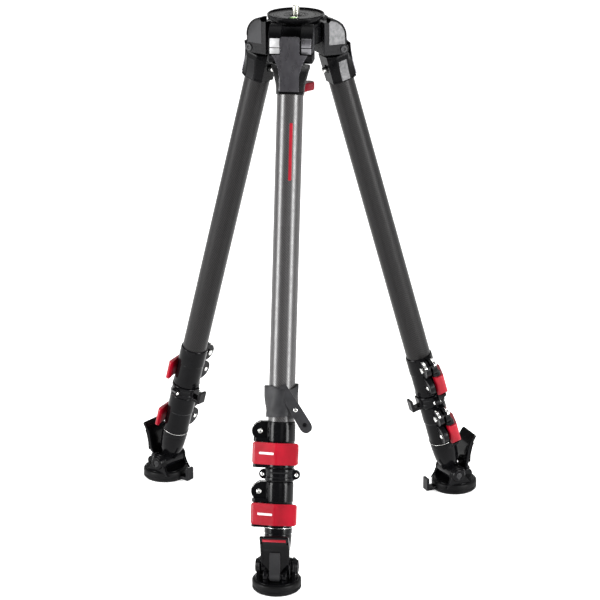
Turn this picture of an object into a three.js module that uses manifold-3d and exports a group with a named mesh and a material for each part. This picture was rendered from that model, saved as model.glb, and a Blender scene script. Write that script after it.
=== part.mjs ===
// Three-section video tripod, folded to its shortest, with the legs at their narrow working angle.
// Millimetres, +Z up. The origin is on the floor, at the centre of the footprint's bounding box.
// The front leg stands toward -Y, and the other two are turned 120 degrees to each side of it.
import * as THREE from 'three';
import { mergeVertices } from 'three/addons/utils/BufferGeometryUtils.js';
import Module from 'manifold-3d';

const wasm = await Module();
wasm.setup();

// ---------------------------------------------------------------- driving dimensions
const GAP = 0.3;                     // clearance between neighbouring parts
const ROUND = 20;                    // sides of the leg's round parts
const WIDE_ROUND = 28;               // sides of the head's and the pad's
const SMALL_ROUND = 12;              // sides of pins, screws and their holes
const AXIS_Y = 63;                   // the spider's axis, behind the footprint's centre
const PLATFORM_TOP = 748;
const PLATFORM_RADIUS = 39.5;
const PLATFORM_THICK = 7;
const LEG_ANGLE = THREE.MathUtils.degToRad(16.2);
const LEG_TOP_RADIUS = 39;           // leg axis to spider axis, at the platform's height
const LEG_TURNS = { front: 0, right: 120, left: -120 };

const BALL_CENTRE = 738;             // height of the levelling ball's centre
const BALL_RADIUS = 29.7;
const BOWL_RADIUS = BALL_RADIUS + GAP;
const BOWL_RIM = 737;
const HUB_BOTTOM = 708;
const HUB_TOP = 729;
const HUB_RADIUS = 36;
const NECK_RADIUS = 35.5;
const DRAIN_RADIUS = 12;             // the hole under the bowl
const ROD_RADIUS = 4;
const ROD_BOTTOM = 640;
const ROD_TOP = 728;
const STUD_RADIUS = 4.75;            // 3/8 inch camera stud
const STUD_LENGTH = 10.5;
const STUD_BOTTOM = 733;
const LEVEL_RADIUS = 6.5;
const LEVEL_OUT = 24;
const LEVEL_DEPTH = 4;
const CUP = { inner: 8.5, foot: 15, outer: 22, low: 694, shoulder: 701 };
const KNOB = { reach: 30, lobe: 8, hub: 12, low: 636, high: 648, top: 691.5 };

const HINGE_RADIUS = 59;             // leg hinge, distance from the spider's axis
const HINGE_HEIGHT = 698;
const HINGE_BOLT = 3;
const BOLT_HEAD = { radius: 5.5, thick: 2 };
const EAR_ROUND = 7.5;               // hinge to the ear's outer and lower faces
const EAR_HALF = 29.5;               // half the width over a pair of ears
const EAR_START = 30;
const EAR_STEP = 702;                // the ear is deeper below this height
const EAR_ARCH = { radius: 25.5, centre: [38, 716] };
const SLOT_HALF = 13.6;              // half the width of the slot between them
const SLOT_START = 36.5;
const TILT_ROOM = { radius: 41.5, low: 736.5 };

const YOKE_TOP_GAP = 8.2;            // yoke shoulder to hinge
const YOKE_END = 103;                // all positions on a leg are distances down its axis
const YOKE_SIDE = 25.6;
const YOKE_BACK = -17.5;
const YOKE_FACE = 18.6;
const TONGUE = { boss: 10, top: 28, back: 8 };
const SPIGOT_END = 134;
const COVER = { thick: 2, top: 26, wing: 24.5, wingAt: 51, waist: 13.5, waistAt: 79, end: 100, corner: 3 };
const LOCK = { radius: 4, down: 82, bore: -9, from: -23.5, to: -13.5 };
const TUBE_WALL = 1.5;
const UPPER_TUBE = { radius: 18, from: YOKE_END + GAP, to: 575 };
const MIDDLE_TUBE = { radius: 16.2, from: 138, to: 652 };
const LOWER_TUBE = { radius: 14.4, from: 160, to: 724 };
const UPPER_CLAMP = {
  outer: 20, from: 549, to: 612.5, step: 575.3, big: UPPER_TUBE.radius, small: MIDDLE_TUBE.radius,
  earFrom: 549, earTo: 576, earReach: 39, lever: [577.5, 607.5],
};
const LOWER_CLAMP = {
  outer: 19.6, from: 631.7, to: 694.5, step: 652.3, big: MIDDLE_TUBE.radius, small: LOWER_TUBE.radius,
  earFrom: 632, earTo: 659, earReach: 38, lever: [661, 690.5],
};
const CLAMP_EAR = 9;                 // half the thickness over the two ears
const CLAMP_BOLT = { radius: 2.5, x: -27, half: 12.5, head: 4.6 };
const REAR_EAR = { front: -1.8, back: -9.5, reach: 37 };
const LEVER_PIVOT = { x: -30, out: 8, radius: 6.5, pin: 2.4 };
const SPREADER_RING = { from: 613.2, to: 631, outer: 20.5 };
const FLANGE = { from: 17, to: 28, half: 4 };
const HOOK = { slot: 9.5, post: 4, floor: 5, half: 7 };
const STRAP = { from: 498, to: 545.5, thick: 3.6, tailStart: [8, 513], tailLength: 54, tailHalf: 6.5, tailLean: 60 };

const FOOT_RADIUS = 254;             // pad centre to the spider's axis
const ANKLE_HEIGHT = 29;
const PAD_RADIUS = 34;
const PAD_HEIGHT = 15;
const CHEEK = { inner: 22, outer: 29, boss: 11 };
const ANKLE_BOSS = 12.5;
const ANKLE_PIN = 4;
const ANKLE_COLLAR = 19;
const FOOT_HOOK = { slot: 10.5, low: 3, high: 22 };
const LATCH_HINGE = { radius: 269, height: 24, boss: 8, pin: 2.2 };
const LATCH = { knuckle: 9.5, waist: 13, half: 20, length: 62 };
const LATCH_LUG = { from: 9.8, to: 16 };

// ---------------------------------------------------------------- worked-out dimensions
const COS = Math.cos(LEG_ANGLE);
const SIN = Math.sin(LEG_ANGLE);
// Distance outward from, and down, the leg's axis of a point at a radius and height.
const legPoint = (radius, height) => ({
  out: (radius - LEG_TOP_RADIUS) * COS - (PLATFORM_TOP - height) * SIN,
  down: (radius - LEG_TOP_RADIUS) * SIN + (PLATFORM_TOP - height) * COS,
});
const HINGE = legPoint(HINGE_RADIUS, HINGE_HEIGHT);
const ANKLE_DOWN = (PLATFORM_TOP - ANKLE_HEIGHT) / COS;
const ANKLE_RADIUS = LEG_TOP_RADIUS + (PLATFORM_TOP - ANKLE_HEIGHT) * Math.tan(LEG_ANGLE);
const YOKE_TOP = HINGE.down + YOKE_TOP_GAP;

// ---------------------------------------------------------------- solids
function toSolid(geometry) {
  const bare = geometry.clone();
  bare.deleteAttribute('normal');
  bare.deleteAttribute('uv');
  const merged = mergeVertices(bare, 1e-4);
  const index = merged.index.array;
  const triangles = [];
  for (let i = 0; i < index.length; i += 3) {
    const [a, b, c] = [index[i], index[i + 1], index[i + 2]];
    if (a !== b && b !== c && c !== a) triangles.push(a, b, c);
  }
  const mesh = new wasm.Mesh({
    numProp: 3,
    vertProperties: Float32Array.from(merged.attributes.position.array),
    triVerts: Uint32Array.from(triangles),
  });
  return new wasm.Manifold(mesh);
}

function toGeometry(solid) {
  const mesh = solid.getMesh();
  const geometry = new THREE.BufferGeometry();
  geometry.setAttribute('position', new THREE.BufferAttribute(mesh.vertProperties, 3));
  geometry.setIndex(new THREE.BufferAttribute(mesh.triVerts, 1));
  geometry.computeVertexNormals();
  return geometry;
}

const join = (...parts) => toGeometry(parts.map(toSolid).reduce((a, b) => a.add(b)));
const cut = (part, ...tools) => toGeometry(tools.map(toSolid).reduce((a, b) => a.subtract(b), toSolid(part)));
const common = (a, b) => toGeometry(toSolid(a).intersect(toSolid(b)));

function box([x0, x1], [y0, y1], [z0, z1]) {
  const geometry = new THREE.BoxGeometry(x1 - x0, y1 - y0, z1 - z0);
  return geometry.translate((x0 + x1) / 2, (y0 + y1) / 2, (z0 + z1) / 2);
}

// A cylinder from a to b along an axis, through a centre given on the other two.
function cylinder(axis, radius, [a, b], [x, y, z] = [0, 0, 0], sides = SMALL_ROUND) {
  const geometry = new THREE.CylinderGeometry(radius, radius, b - a, sides);
  geometry.translate(0, (a + b) / 2, 0);
  if (axis === 'x') geometry.rotateZ(-Math.PI / 2);
  if (axis === 'z') geometry.rotateX(Math.PI / 2);
  return geometry.translate(x, y, z);
}

// A body turned about Z from a closed profile of [radius, height], counter-clockwise.
function turned(profile, sides = ROUND) {
  const points = [...profile, profile[0]].map(([radius, height]) => new THREE.Vector2(radius, height));
  return new THREE.LatheGeometry(points, sides).rotateX(Math.PI / 2);
}

function ring(inner, outer, from, to, sides = ROUND) {
  return turned([[inner, from], [outer, from], [outer, to], [inner, to]], sides);
}

// Extrusions of an outline: seen from above, from the side, or from the front of a leg.
function fromAbove(outline, [low, high]) {
  const shape = outline instanceof THREE.Shape ? outline : polygon(outline);
  const settings = { depth: high - low, bevelEnabled: false, curveSegments: 5 };
  return new THREE.ExtrudeGeometry(shape, settings).translate(0, 0, low);
}

function fromSide(outline, [low, high]) {
  const turn = new THREE.Matrix4().set(0, 0, 1, 0, 1, 0, 0, 0, 0, 1, 0, 0, 0, 0, 0, 1);
  return fromAbove(outline, [low, high]).applyMatrix4(turn);
}

function fromFront(outline, [low, high]) {
  return fromAbove(outline, [-high, -low]).rotateX(Math.PI / 2);
}

function polygon(points) {
  return new THREE.Shape(points.map(([x, y]) => new THREE.Vector2(x, y)));
}

// ---------------------------------------------------------------- materials and meshes
const finish = (color, roughness, metalness) => new THREE.MeshStandardMaterial({ color, roughness, metalness });
const BLACK_CASTING = finish(0x1c1c1e, 0.5, 0.3);
const BLACK_PLASTIC = finish(0x1a1a1c, 0.55, 0);
const GREY_SATIN = finish(0x77797c, 0.35, 0.6);
const CARBON = finish(0x2b2b2d, 0.25, 0.1);
const RED = finish(0xc8102e, 0.4, 0.1);
const STEEL = finish(0xc8c8ca, 0.3, 0.9);
const RUBBER = finish(0x202022, 0.85, 0);
const BUBBLE = finish(0xb6d81c, 0.15, 0);
const WEBBING = finish(0x18181a, 0.9, 0);

function named(name, geometry, material) {
  const mesh = new THREE.Mesh(geometry, material);
  mesh.name = name;
  return mesh;
}

// ---------------------------------------------------------------- head of the tripod
// An ear seen from the side: round about the hinge below, and a quarter arch above.
function earOutline() {
  const shape = new THREE.Shape();
  const { radius, centre: [archX, archY] } = EAR_ARCH;
  const face = HINGE_RADIUS + EAR_ROUND;
  shape.moveTo(EAR_START, HINGE_HEIGHT - EAR_ROUND);
  shape.lineTo(HINGE_RADIUS, HINGE_HEIGHT - EAR_ROUND);
  shape.absarc(HINGE_RADIUS, HINGE_HEIGHT, EAR_ROUND, -Math.PI / 2, 0, false);
  shape.lineTo(face, EAR_STEP);
  shape.lineTo(archX + radius, EAR_STEP);
  shape.absarc(archX, archY, radius, 0, Math.PI / 2, false);
  shape.lineTo(EAR_START, archY + radius);
  return shape;
}

// A pair of ears on a short web, cut away at the top where the platform tilts.
function spiderArm() {
  const arm = fromSide(earOutline(), [-EAR_HALF, EAR_HALF]);
  const slot = box([-SLOT_HALF, SLOT_HALF], [SLOT_START, 90], [HINGE_HEIGHT - 20, PLATFORM_TOP]);
  const hole = cylinder('x', HINGE_BOLT + GAP, [-40, 40], [0, HINGE_RADIUS, HINGE_HEIGHT]);
  const { radius, low } = TILT_ROOM;
  const tiltRoom = cylinder('z', radius, [low, PLATFORM_TOP], [0, 0, 0], WIDE_ROUND);
  return cut(arm, slot, hole, tiltRoom);
}

function spider() {
  let body = cylinder('z', HUB_RADIUS, [HUB_BOTTOM, HUB_TOP], [0, 0, 0], WIDE_ROUND);
  for (const turn of Object.values(LEG_TURNS)) {
    body = join(body, spiderArm().rotateZ(Math.PI + THREE.MathUtils.degToRad(turn)));
  }
  body = join(body, cylinder('z', NECK_RADIUS, [HUB_TOP - 2, BOWL_RIM], [0, 0, 0], WIDE_ROUND));
  const drain = cylinder('z', DRAIN_RADIUS, [HUB_BOTTOM - 5, BALL_CENTRE]);
  return named('spider', cut(body, sphere(BOWL_RADIUS), drain), BLACK_CASTING);
}

// A ball about the levelling centre.
function sphere(radius) {
  return new THREE.SphereGeometry(radius, WIDE_ROUND, 14).rotateX(Math.PI / 2).translate(0, 0, BALL_CENTRE);
}

function platformPlate() {
  const low = PLATFORM_TOP - PLATFORM_THICK;
  const edge = 1;
  const disc = turned([
    [0, low], [PLATFORM_RADIUS - edge, low], [PLATFORM_RADIUS, low + edge],
    [PLATFORM_RADIUS, PLATFORM_TOP - edge], [PLATFORM_RADIUS - edge, PLATFORM_TOP], [0, PLATFORM_TOP],
  ], WIDE_ROUND);
  const studHole = cylinder('z', STUD_RADIUS + GAP, [low - 5, PLATFORM_TOP + 5]);
  const seatFloor = PLATFORM_TOP - LEVEL_DEPTH;
  const levelSeat = cylinder('z', LEVEL_RADIUS + GAP, [seatFloor, PLATFORM_TOP + 5], [0, -LEVEL_OUT, 0]);
  return named('platform_plate', cut(disc, studHole, levelSeat), BLACK_CASTING);
}

// The ball's lower half, with a straight neck that meets the platform.
function halfBall() {
  const top = PLATFORM_TOP - PLATFORM_THICK - GAP;
  const lower = common(sphere(BALL_RADIUS), box([-40, 40], [-40, 40], [BALL_CENTRE - 40, BALL_CENTRE]));
  const neck = cylinder('z', BALL_RADIUS - 1, [BALL_CENTRE - 1, top], [0, 0, 0], WIDE_ROUND);
  const studHole = cylinder('z', STUD_RADIUS + GAP, [STUD_BOTTOM - GAP, top + 5]);
  const rodHole = cylinder('z', ROD_RADIUS + GAP, [BALL_CENTRE - 40, ROD_TOP + GAP]);
  return named('half_ball', cut(join(lower, neck), studHole, rodHole), BLACK_CASTING);
}

function headStud() {
  const tip = PLATFORM_TOP + STUD_LENGTH;
  const stud = turned([
    [0, STUD_BOTTOM], [STUD_RADIUS, STUD_BOTTOM], [STUD_RADIUS, tip - 1], [STUD_RADIUS - 1, tip], [0, tip],
  ]);
  return named('head_stud', stud, STEEL);
}

function bubbleLevel() {
  const base = PLATFORM_TOP - LEVEL_DEPTH + GAP;
  const crown = PLATFORM_TOP + 1;
  const vial = turned([
    [0, base], [LEVEL_RADIUS, base], [LEVEL_RADIUS, PLATFORM_TOP], [LEVEL_RADIUS - 1.5, crown], [0, crown],
  ]);
  return named('bubble_level', vial.translate(0, -LEVEL_OUT, 0), BUBBLE);
}

function tieRod() {
  return named('tie_rod', cylinder('z', ROD_RADIUS, [ROD_BOTTOM, ROD_TOP]), STEEL);
}

function clampCup() {
  const top = HUB_BOTTOM - GAP;
  const { inner, foot, outer, low, shoulder } = CUP;
  const cup = turned([[inner, low], [foot, low], [outer, shoulder], [outer, top], [inner, top]], WIDE_ROUND);
  return named('clamp_cup', cup, BLACK_CASTING);
}

// Three round lobes joined by hollow curves.
function lobedOutline({ reach, lobe }) {
  const shape = new THREE.Shape();
  const centre = reach - lobe;
  const sweep = 1.35;                // half the angle of a lobe's round end
  const waist = 7;
  for (let i = 0; i < 3; i += 1) {
    const angle = THREE.MathUtils.degToRad(45 + 120 * i);
    const cx = centre * Math.cos(angle);
    const cy = centre * Math.sin(angle);
    shape.absarc(cx, cy, lobe, angle - sweep, angle + sweep, false);
    const mid = angle + Math.PI / 3;
    const next = angle + (2 * Math.PI) / 3;
    const endX = centre * Math.cos(next) + lobe * Math.cos(next - sweep);
    const endY = centre * Math.sin(next) + lobe * Math.sin(next - sweep);
    shape.quadraticCurveTo(waist * Math.cos(mid), waist * Math.sin(mid), endX, endY);
  }
  return shape;
}

function tieDownKnob() {
  const { hub, low, high, top } = KNOB;
  const lobes = fromAbove(lobedOutline(KNOB), [low, high]);
  const shaft = cylinder('z', hub, [low + 6, top]);
  const bore = cylinder('z', ROD_RADIUS + GAP, [ROD_BOTTOM - GAP, top + 5]);
  return named('tie_down_knob', cut(join(lobes, shaft), bore), RED);
}

// ---------------------------------------------------------------- one leg
// Leg coordinates: x to the right seen from outside, y outward from the leg's axis, z down it.
function legYoke() {
  const half = UPPER_TUBE.radius + 0.6;
  const front = fromFront(mirrored([
    [YOKE_SIDE, YOKE_TOP], [YOKE_SIDE, YOKE_TOP + 4.5], [half + 3, YOKE_TOP + 18], [half, YOKE_END - 8], [half, YOKE_END],
  ]), [-40, 40]);
  const section = fromAbove(mirrored([
    [14, YOKE_BACK], [YOKE_SIDE, -8], [YOKE_SIDE, 10], [14, YOKE_FACE],
  ]), [YOKE_TOP, YOKE_END]);
  const tongueHalf = SLOT_HALF - 2 * GAP;
  const tongue = fromSide(tongueOutline(), [-tongueHalf, tongueHalf]);
  const spigot = cylinder('z', UPPER_TUBE.radius - TUBE_WALL - GAP, [YOKE_END - 5, SPIGOT_END], [0, 0, 0], ROUND);
  const hinge = cylinder('x', HINGE_BOLT + GAP, [-40, 40], [0, HINGE.out, HINGE.down]);
  const { radius, down, bore } = LOCK;
  const buttonHole = cylinder('y', radius + GAP, [YOKE_BACK - 5, bore], [0, 0, down]);
  return cut(join(common(front, section), tongue, spigot), hinge, buttonHole);
}

// An outline closed by its own mirror image in the vertical.
function mirrored(half) {
  return [...half, ...half.map(([x, y]) => [-x, y]).reverse()];
}

// The tongue between the ears, seen from the side as [out, down]: a boss and a post behind the cover.
function tongueOutline() {
  const { boss, top, back } = TONGUE;
  const root = YOKE_TOP + 5;
  const shape = new THREE.Shape();
  shape.moveTo(YOKE_FACE, root);
  shape.lineTo(HINGE.out - boss, root);
  shape.lineTo(HINGE.out - boss, HINGE.down);
  shape.absarc(HINGE.out, HINGE.down, boss, Math.PI, 1.5 * Math.PI, false);
  shape.lineTo(back, HINGE.down - boss);
  shape.lineTo(back, top);
  shape.lineTo(YOKE_FACE, top);
  return shape;
}

function angleLock() {
  const { radius, down, from, to } = LOCK;
  return cylinder('y', radius, [from, to], [0, 0, down]);
}

// A thin satin cover on the yoke's outer face: narrow between the ears, winged below them.
function shoulderCover() {
  const narrow = SLOT_HALF - GAP - 0.1;
  const { thick, top, wing, wingAt, waist, waistAt, end, corner } = COVER;
  const outline = new THREE.Shape();
  outline.moveTo(-narrow, top + corner);
  outline.quadraticCurveTo(-narrow, top, -narrow + corner, top);
  outline.lineTo(narrow - corner, top);
  outline.quadraticCurveTo(narrow, top, narrow, top + corner);
  outline.lineTo(narrow, wingAt - 1);
  outline.lineTo(wing, wingAt);
  outline.quadraticCurveTo(wing - 4, waistAt - 12, waist, waistAt);
  outline.lineTo(waist, end);
  outline.lineTo(-waist, end);
  outline.lineTo(-waist, waistAt);
  outline.quadraticCurveTo(-wing + 4, waistAt - 12, -wing, wingAt);
  outline.lineTo(-narrow, wingAt - 1);
  return fromFront(outline, [YOKE_FACE + GAP, YOKE_FACE + GAP + thick]);
}

function tube({ radius, from, to }) {
  return ring(radius - TUBE_WALL, radius, from, to);
}

// An ear on the collar's side with a half-round end.
function clampEar(outer, from, to, reach) {
  const half = (to - from) / 2;
  const shape = new THREE.Shape();
  shape.moveTo(-outer + 2.5, from);
  shape.lineTo(-outer + 2.5, to);
  shape.lineTo(-reach + half, to);
  shape.absarc(-reach + half, (from + to) / 2, half, Math.PI / 2, 1.5 * Math.PI, false);
  return shape;
}

// A clamp collar with two flat ears across its slit and a lug that carries the lever's lower pin.
function legClamp({ outer, from, to, step, big, small, earFrom, earTo, earReach, lever }) {
  const collar = cylinder('z', outer, [from, to], [0, 0, 0], ROUND);
  const middle = (earFrom + earTo) / 2;
  const ears = fromFront(clampEar(outer, earFrom, earTo, earReach), [-CLAMP_EAR, CLAMP_EAR]);
  const rearEar = fromFront(
    clampEar(outer, lever[0] + 0.5, lever[1] - 0.5, REAR_EAR.reach), [REAR_EAR.back, REAR_EAR.front],
  );
  const { x, out, radius, pin } = LEVER_PIVOT;
  const lug = new THREE.Shape();
  lug.moveTo(-14, out - radius);
  lug.lineTo(-14, out + radius);
  lug.lineTo(x, out + radius);
  lug.absarc(x, out, radius, Math.PI / 2, 1.5 * Math.PI, false);
  const lowerLug = fromAbove(lug, [lever[1] + GAP + 0.2, to]);
  const upperLug = fromAbove(lug, [lever[0] - 6, lever[0] - GAP - 0.2]);
  const hollow = cylinder('z', small + GAP, [from - 5, to + 5], [0, 0, 0], ROUND);
  const seat = cylinder('z', big + GAP, [from - 5, step], [0, 0, 0], ROUND);
  const slit = box([-60, -outer + 5], [-2, 2], [from - 5, earTo + 0.2]);
  const bolt = cylinder('y', CLAMP_BOLT.radius + GAP, [-20, 30], [CLAMP_BOLT.x, 0, middle]);
  const pinHole = cylinder('z', pin + GAP, [lever[0] - 5, lever[1] + 4], [x, out, 0]);
  return cut(join(collar, ears, rearEar, lowerLug, upperLug), hollow, seat, slit, bolt, pinHole);
}

function clampBolt({ earFrom, earTo }) {
  const { radius, x, half, head } = CLAMP_BOLT;
  const at = [x, 0, (earFrom + earTo) / 2];
  const shank = cylinder('y', radius, [-half, half], at);
  const cap = cylinder('y', head, [CLAMP_EAR + GAP, half], at);
  const nut = cylinder('y', head, [-half, -CLAMP_EAR - GAP], at, 6);
  return join(shank, cap, nut);
}

// The flip lever, seen along the leg: a barrel round its pivot and a wedge-shaped arm round the collar.
function flipLever({ lever }) {
  const [from, to] = lever;
  const { x, out, radius, pin } = LEVER_PIVOT;
  const shape = new THREE.Shape();
  shape.moveTo(x - radius, out);
  shape.lineTo(x - radius - 0.5, out + 5);
  shape.quadraticCurveTo(x - radius, out + 8, x - 3, out + 9);
  shape.lineTo(-3, 25.5);
  shape.lineTo(22, 22);
  shape.quadraticCurveTo(27.5, 21, 27, 16.5);
  shape.lineTo(20, 17.2);
  shape.lineTo(8, 20.7);
  shape.lineTo(-4, 21.2);
  shape.lineTo(-16, 17);
  shape.lineTo(x + radius, out + 4.5);
  shape.lineTo(x + radius, out);
  shape.absarc(x, out, radius, 0, -Math.PI, true);
  const pins = cylinder('z', pin, [from - 3, to + 3], [x, out, 0]);
  return join(fromAbove(shape, [from, to]), pins);
}

// A ring under the upper clamp with a screwed flange each side and an open hook at its back.
function spreaderBracket() {
  const { from, to, outer } = SPREADER_RING;
  const collar = ring(MIDDLE_TUBE.radius + GAP, outer, from, to);
  const flanges = [-1, 1].map((side) => box(ordered(side * FLANGE.from, side * FLANGE.to),
    [-FLANGE.half, FLANGE.half], [from, to]));
  const { slot, post, floor, half } = HOOK;
  const root = -outer + 3;
  const back = -outer - 0.8;
  const hook = fromSide([
    [root, from], [back, from], [back, to - floor], [back - slot, to - floor], [back - slot, from - 1],
    [back - slot - post, from - 1], [back - slot - post, to], [root, to],
  ], [-half, half]);
  return join(collar, ...flanges, hook);
}

const ordered = (a, b) => [Math.min(a, b), Math.max(a, b)];

// Ankle: a socket on the lower tube that narrows to a cross barrel with a stub pin at each end.
function ankle() {
  const { radius, to } = LOWER_TUBE;
  const top = LOWER_CLAMP.to + 1;
  const neck = turned([
    [0, ANKLE_DOWN - 3], [10, ANKLE_DOWN - 3], [15, 732], [17.4, 726], [18.4, 716], [ANKLE_COLLAR, top + 9],
    [ANKLE_COLLAR, top], [0, top],
  ].reverse());
  const barrel = cylinder('x', ANKLE_BOSS, [-CHEEK.inner + 0.6, CHEEK.inner - 0.6], [0, 0, ANKLE_DOWN], 16);
  const pins = cylinder('x', ANKLE_PIN, [-CHEEK.outer + 0.5, CHEEK.outer - 0.5], [0, 0, ANKLE_DOWN]);
  const socket = cylinder('z', radius + GAP, [top - 5, to + GAP], [0, 0, 0], ROUND);
  return cut(join(neck, barrel, pins), socket);
}

// A soft webbing wrap round the upper tube, with its loose tail pointing down to one side.
function legStrap() {
  const inner = UPPER_TUBE.radius + 0.4;
  const { from, to, thick, tailStart, tailLength, tailHalf, tailLean } = STRAP;
  const wraps = ring(inner, inner + thick, from, to);
  const tail = box([0, tailLength], [inner + 0.2, inner + thick - 0.4], [-tailHalf, tailHalf]);
  tail.rotateY(THREE.MathUtils.degToRad(-tailLean)).translate(tailStart[0], 0, tailStart[1]);
  return named('leg_strap', join(wraps, tail), WEBBING);
}

// ---------------------------------------------------------------- one foot
// Foot coordinates: x to the left seen from outside, y outward from the spider's axis, z up.
function cheekOutline() {
  const shape = new THREE.Shape();
  shape.moveTo(ANKLE_RADIUS - 20, PAD_HEIGHT - 5);
  shape.lineTo(ANKLE_RADIUS + 24, PAD_HEIGHT - 5);
  shape.lineTo(ANKLE_RADIUS + 19, PAD_HEIGHT + 2);
  shape.absarc(ANKLE_RADIUS, ANKLE_HEIGHT, CHEEK.boss, -0.17, Math.PI + 0.17, false);
  shape.lineTo(ANKLE_RADIUS - 15, PAD_HEIGHT + 2);
  return shape;
}

function footBase() {
  const edge = 2;
  const pad = turned([
    [0, 0], [PAD_RADIUS - edge, 0], [PAD_RADIUS, edge], [PAD_RADIUS, PAD_HEIGHT - edge], [PAD_RADIUS - edge, PAD_HEIGHT],
    [0, PAD_HEIGHT],
  ], WIDE_ROUND).translate(0, FOOT_RADIUS, 0);
  const cheeks = [-1, 1].map((side) => {
    const ends = ordered(side * CHEEK.inner, side * CHEEK.outer);
    return fromSide(cheekOutline(), ends);
  });
  const { radius, height, boss, pin } = LATCH_HINGE;
  const lugs = [-1, 1].map((side) => {
    const ends = ordered(side * LATCH_LUG.from, side * LATCH_LUG.to);
    const root = box(ends, [radius - 6, radius + 6], [PAD_HEIGHT - 3, height]);
    return join(cylinder('x', boss, ends, [0, radius, height], 16), root);
  });
  const pinHole = cylinder('x', ANKLE_PIN + GAP, [-40, 40], [0, ANKLE_RADIUS, ANKLE_HEIGHT]);
  const ankle = [0, ANKLE_RADIUS, ANKLE_HEIGHT];
  const clearance = cylinder('x', ANKLE_BOSS + 0.8, [-CHEEK.inner, CHEEK.inner], ankle, 16);
  const hingeHole = cylinder('x', pin + GAP, [-20, 20], [0, radius, height], 8);
  return cut(join(pad, ...cheeks, ...lugs, footHook()), pinHole, clearance, hingeHole);
}

// An open hook at the pad's inner edge, seen from the side.
function footHook() {
  const edge = FOOT_RADIUS - PAD_RADIUS;
  const { slot, low, high } = FOOT_HOOK;
  return fromSide([
    [edge + 6, low + HOOK.floor], [edge - slot, low + HOOK.floor], [edge - slot, high],
    [edge - slot - HOOK.post, high], [edge - slot - HOOK.post, low], [edge + 6, low],
  ], [-HOOK.half, HOOK.half]);
}

// The latch stands on its hinge: a knuckle, a waisted plate, and a wide top that flares outward.
function footLatch() {
  const { radius, height, boss, pin } = LATCH_HINGE;
  const { knuckle, waist, half, length } = LATCH;
  const side = fromSide([
    [-2.5, 0], [1.5, 0], [1.5, 34], [4.5, 48], [11.5, length - 2], [8.5, length], [0.5, 49], [-2.5, 35],
  ], [-half, half]);
  const front = fromFront(mirrored([
    [knuckle, 0], [knuckle, boss + 1], [waist, 13], [half - 2.4, 18], [half, 28], [half, length],
  ]), [-20, 20]);
  const barrel = cylinder('x', boss - 0.5, [-knuckle, knuckle]);
  const hinge = cylinder('x', pin, [-LATCH_LUG.to + 0.5, LATCH_LUG.to - 0.5], [0, 0, 0], 8);
  return join(common(side, front), barrel, hinge).translate(0, radius, height);
}

function hingeBolt() {
  const end = EAR_HALF + GAP;
  const { radius, thick } = BOLT_HEAD;
  const shank = cylinder('x', HINGE_BOLT, [-end - thick, end + thick]);
  const heads = [-1, 1].map((side) => cylinder('x', radius, ordered(side * end, side * (end + thick))));
  return join(shank, ...heads);
}

// ---------------------------------------------------------------- assembly
function leg(side) {
  const group = new THREE.Group();
  group.position.set(0, LEG_TOP_RADIUS, PLATFORM_TOP);
  group.rotation.set(LEG_ANGLE, Math.PI, 0);
  group.add(
    named(`leg_yoke_${side}`, legYoke(), BLACK_CASTING),
    named(`shoulder_cover_${side}`, shoulderCover(), GREY_SATIN),
    named(`angle_lock_${side}`, angleLock(), STEEL),
    named(`upper_tube_${side}`, tube(UPPER_TUBE), CARBON),
    named(`upper_clamp_${side}`, legClamp(UPPER_CLAMP), BLACK_PLASTIC),
    named(`upper_lever_${side}`, flipLever(UPPER_CLAMP), RED),
    named(`upper_clamp_bolt_${side}`, clampBolt(UPPER_CLAMP), STEEL),
    named(`middle_tube_${side}`, tube(MIDDLE_TUBE), CARBON),
    named(`spreader_bracket_${side}`, spreaderBracket(), BLACK_PLASTIC),
    named(`lower_clamp_${side}`, legClamp(LOWER_CLAMP), BLACK_PLASTIC),
    named(`lower_lever_${side}`, flipLever(LOWER_CLAMP), RED),
    named(`lower_clamp_bolt_${side}`, clampBolt(LOWER_CLAMP), STEEL),
    named(`lower_tube_${side}`, tube(LOWER_TUBE), CARBON),
    named(`ankle_${side}`, ankle(), BLACK_PLASTIC),
  );
  if (side === 'front') group.add(legStrap());
  return group;
}

function legAndFoot(side, turn) {
  const group = new THREE.Group();
  group.rotation.z = Math.PI + THREE.MathUtils.degToRad(turn);
  const bolt = named(`hinge_bolt_${side}`, hingeBolt(), STEEL);
  bolt.position.set(0, HINGE_RADIUS, HINGE_HEIGHT);
  group.add(
    leg(side),
    bolt,
    named(`foot_base_${side}`, footBase(), RUBBER),
    named(`foot_latch_${side}`, footLatch(), BLACK_PLASTIC),
  );
  return group;
}

function tripod() {
  const group = new THREE.Group();
  group.position.y = AXIS_Y;
  group.add(
    spider(),
    platformPlate(),
    halfBall(),
    headStud(),
    bubbleLevel(),
    tieRod(),
    clampCup(),
    tieDownKnob(),
  );
  for (const [side, turn] of Object.entries(LEG_TURNS)) group.add(legAndFoot(side, turn));
  return group;
}

export default tripod();
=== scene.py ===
import math

import bmesh
import bpy
from mathutils import Matrix, Vector


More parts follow.
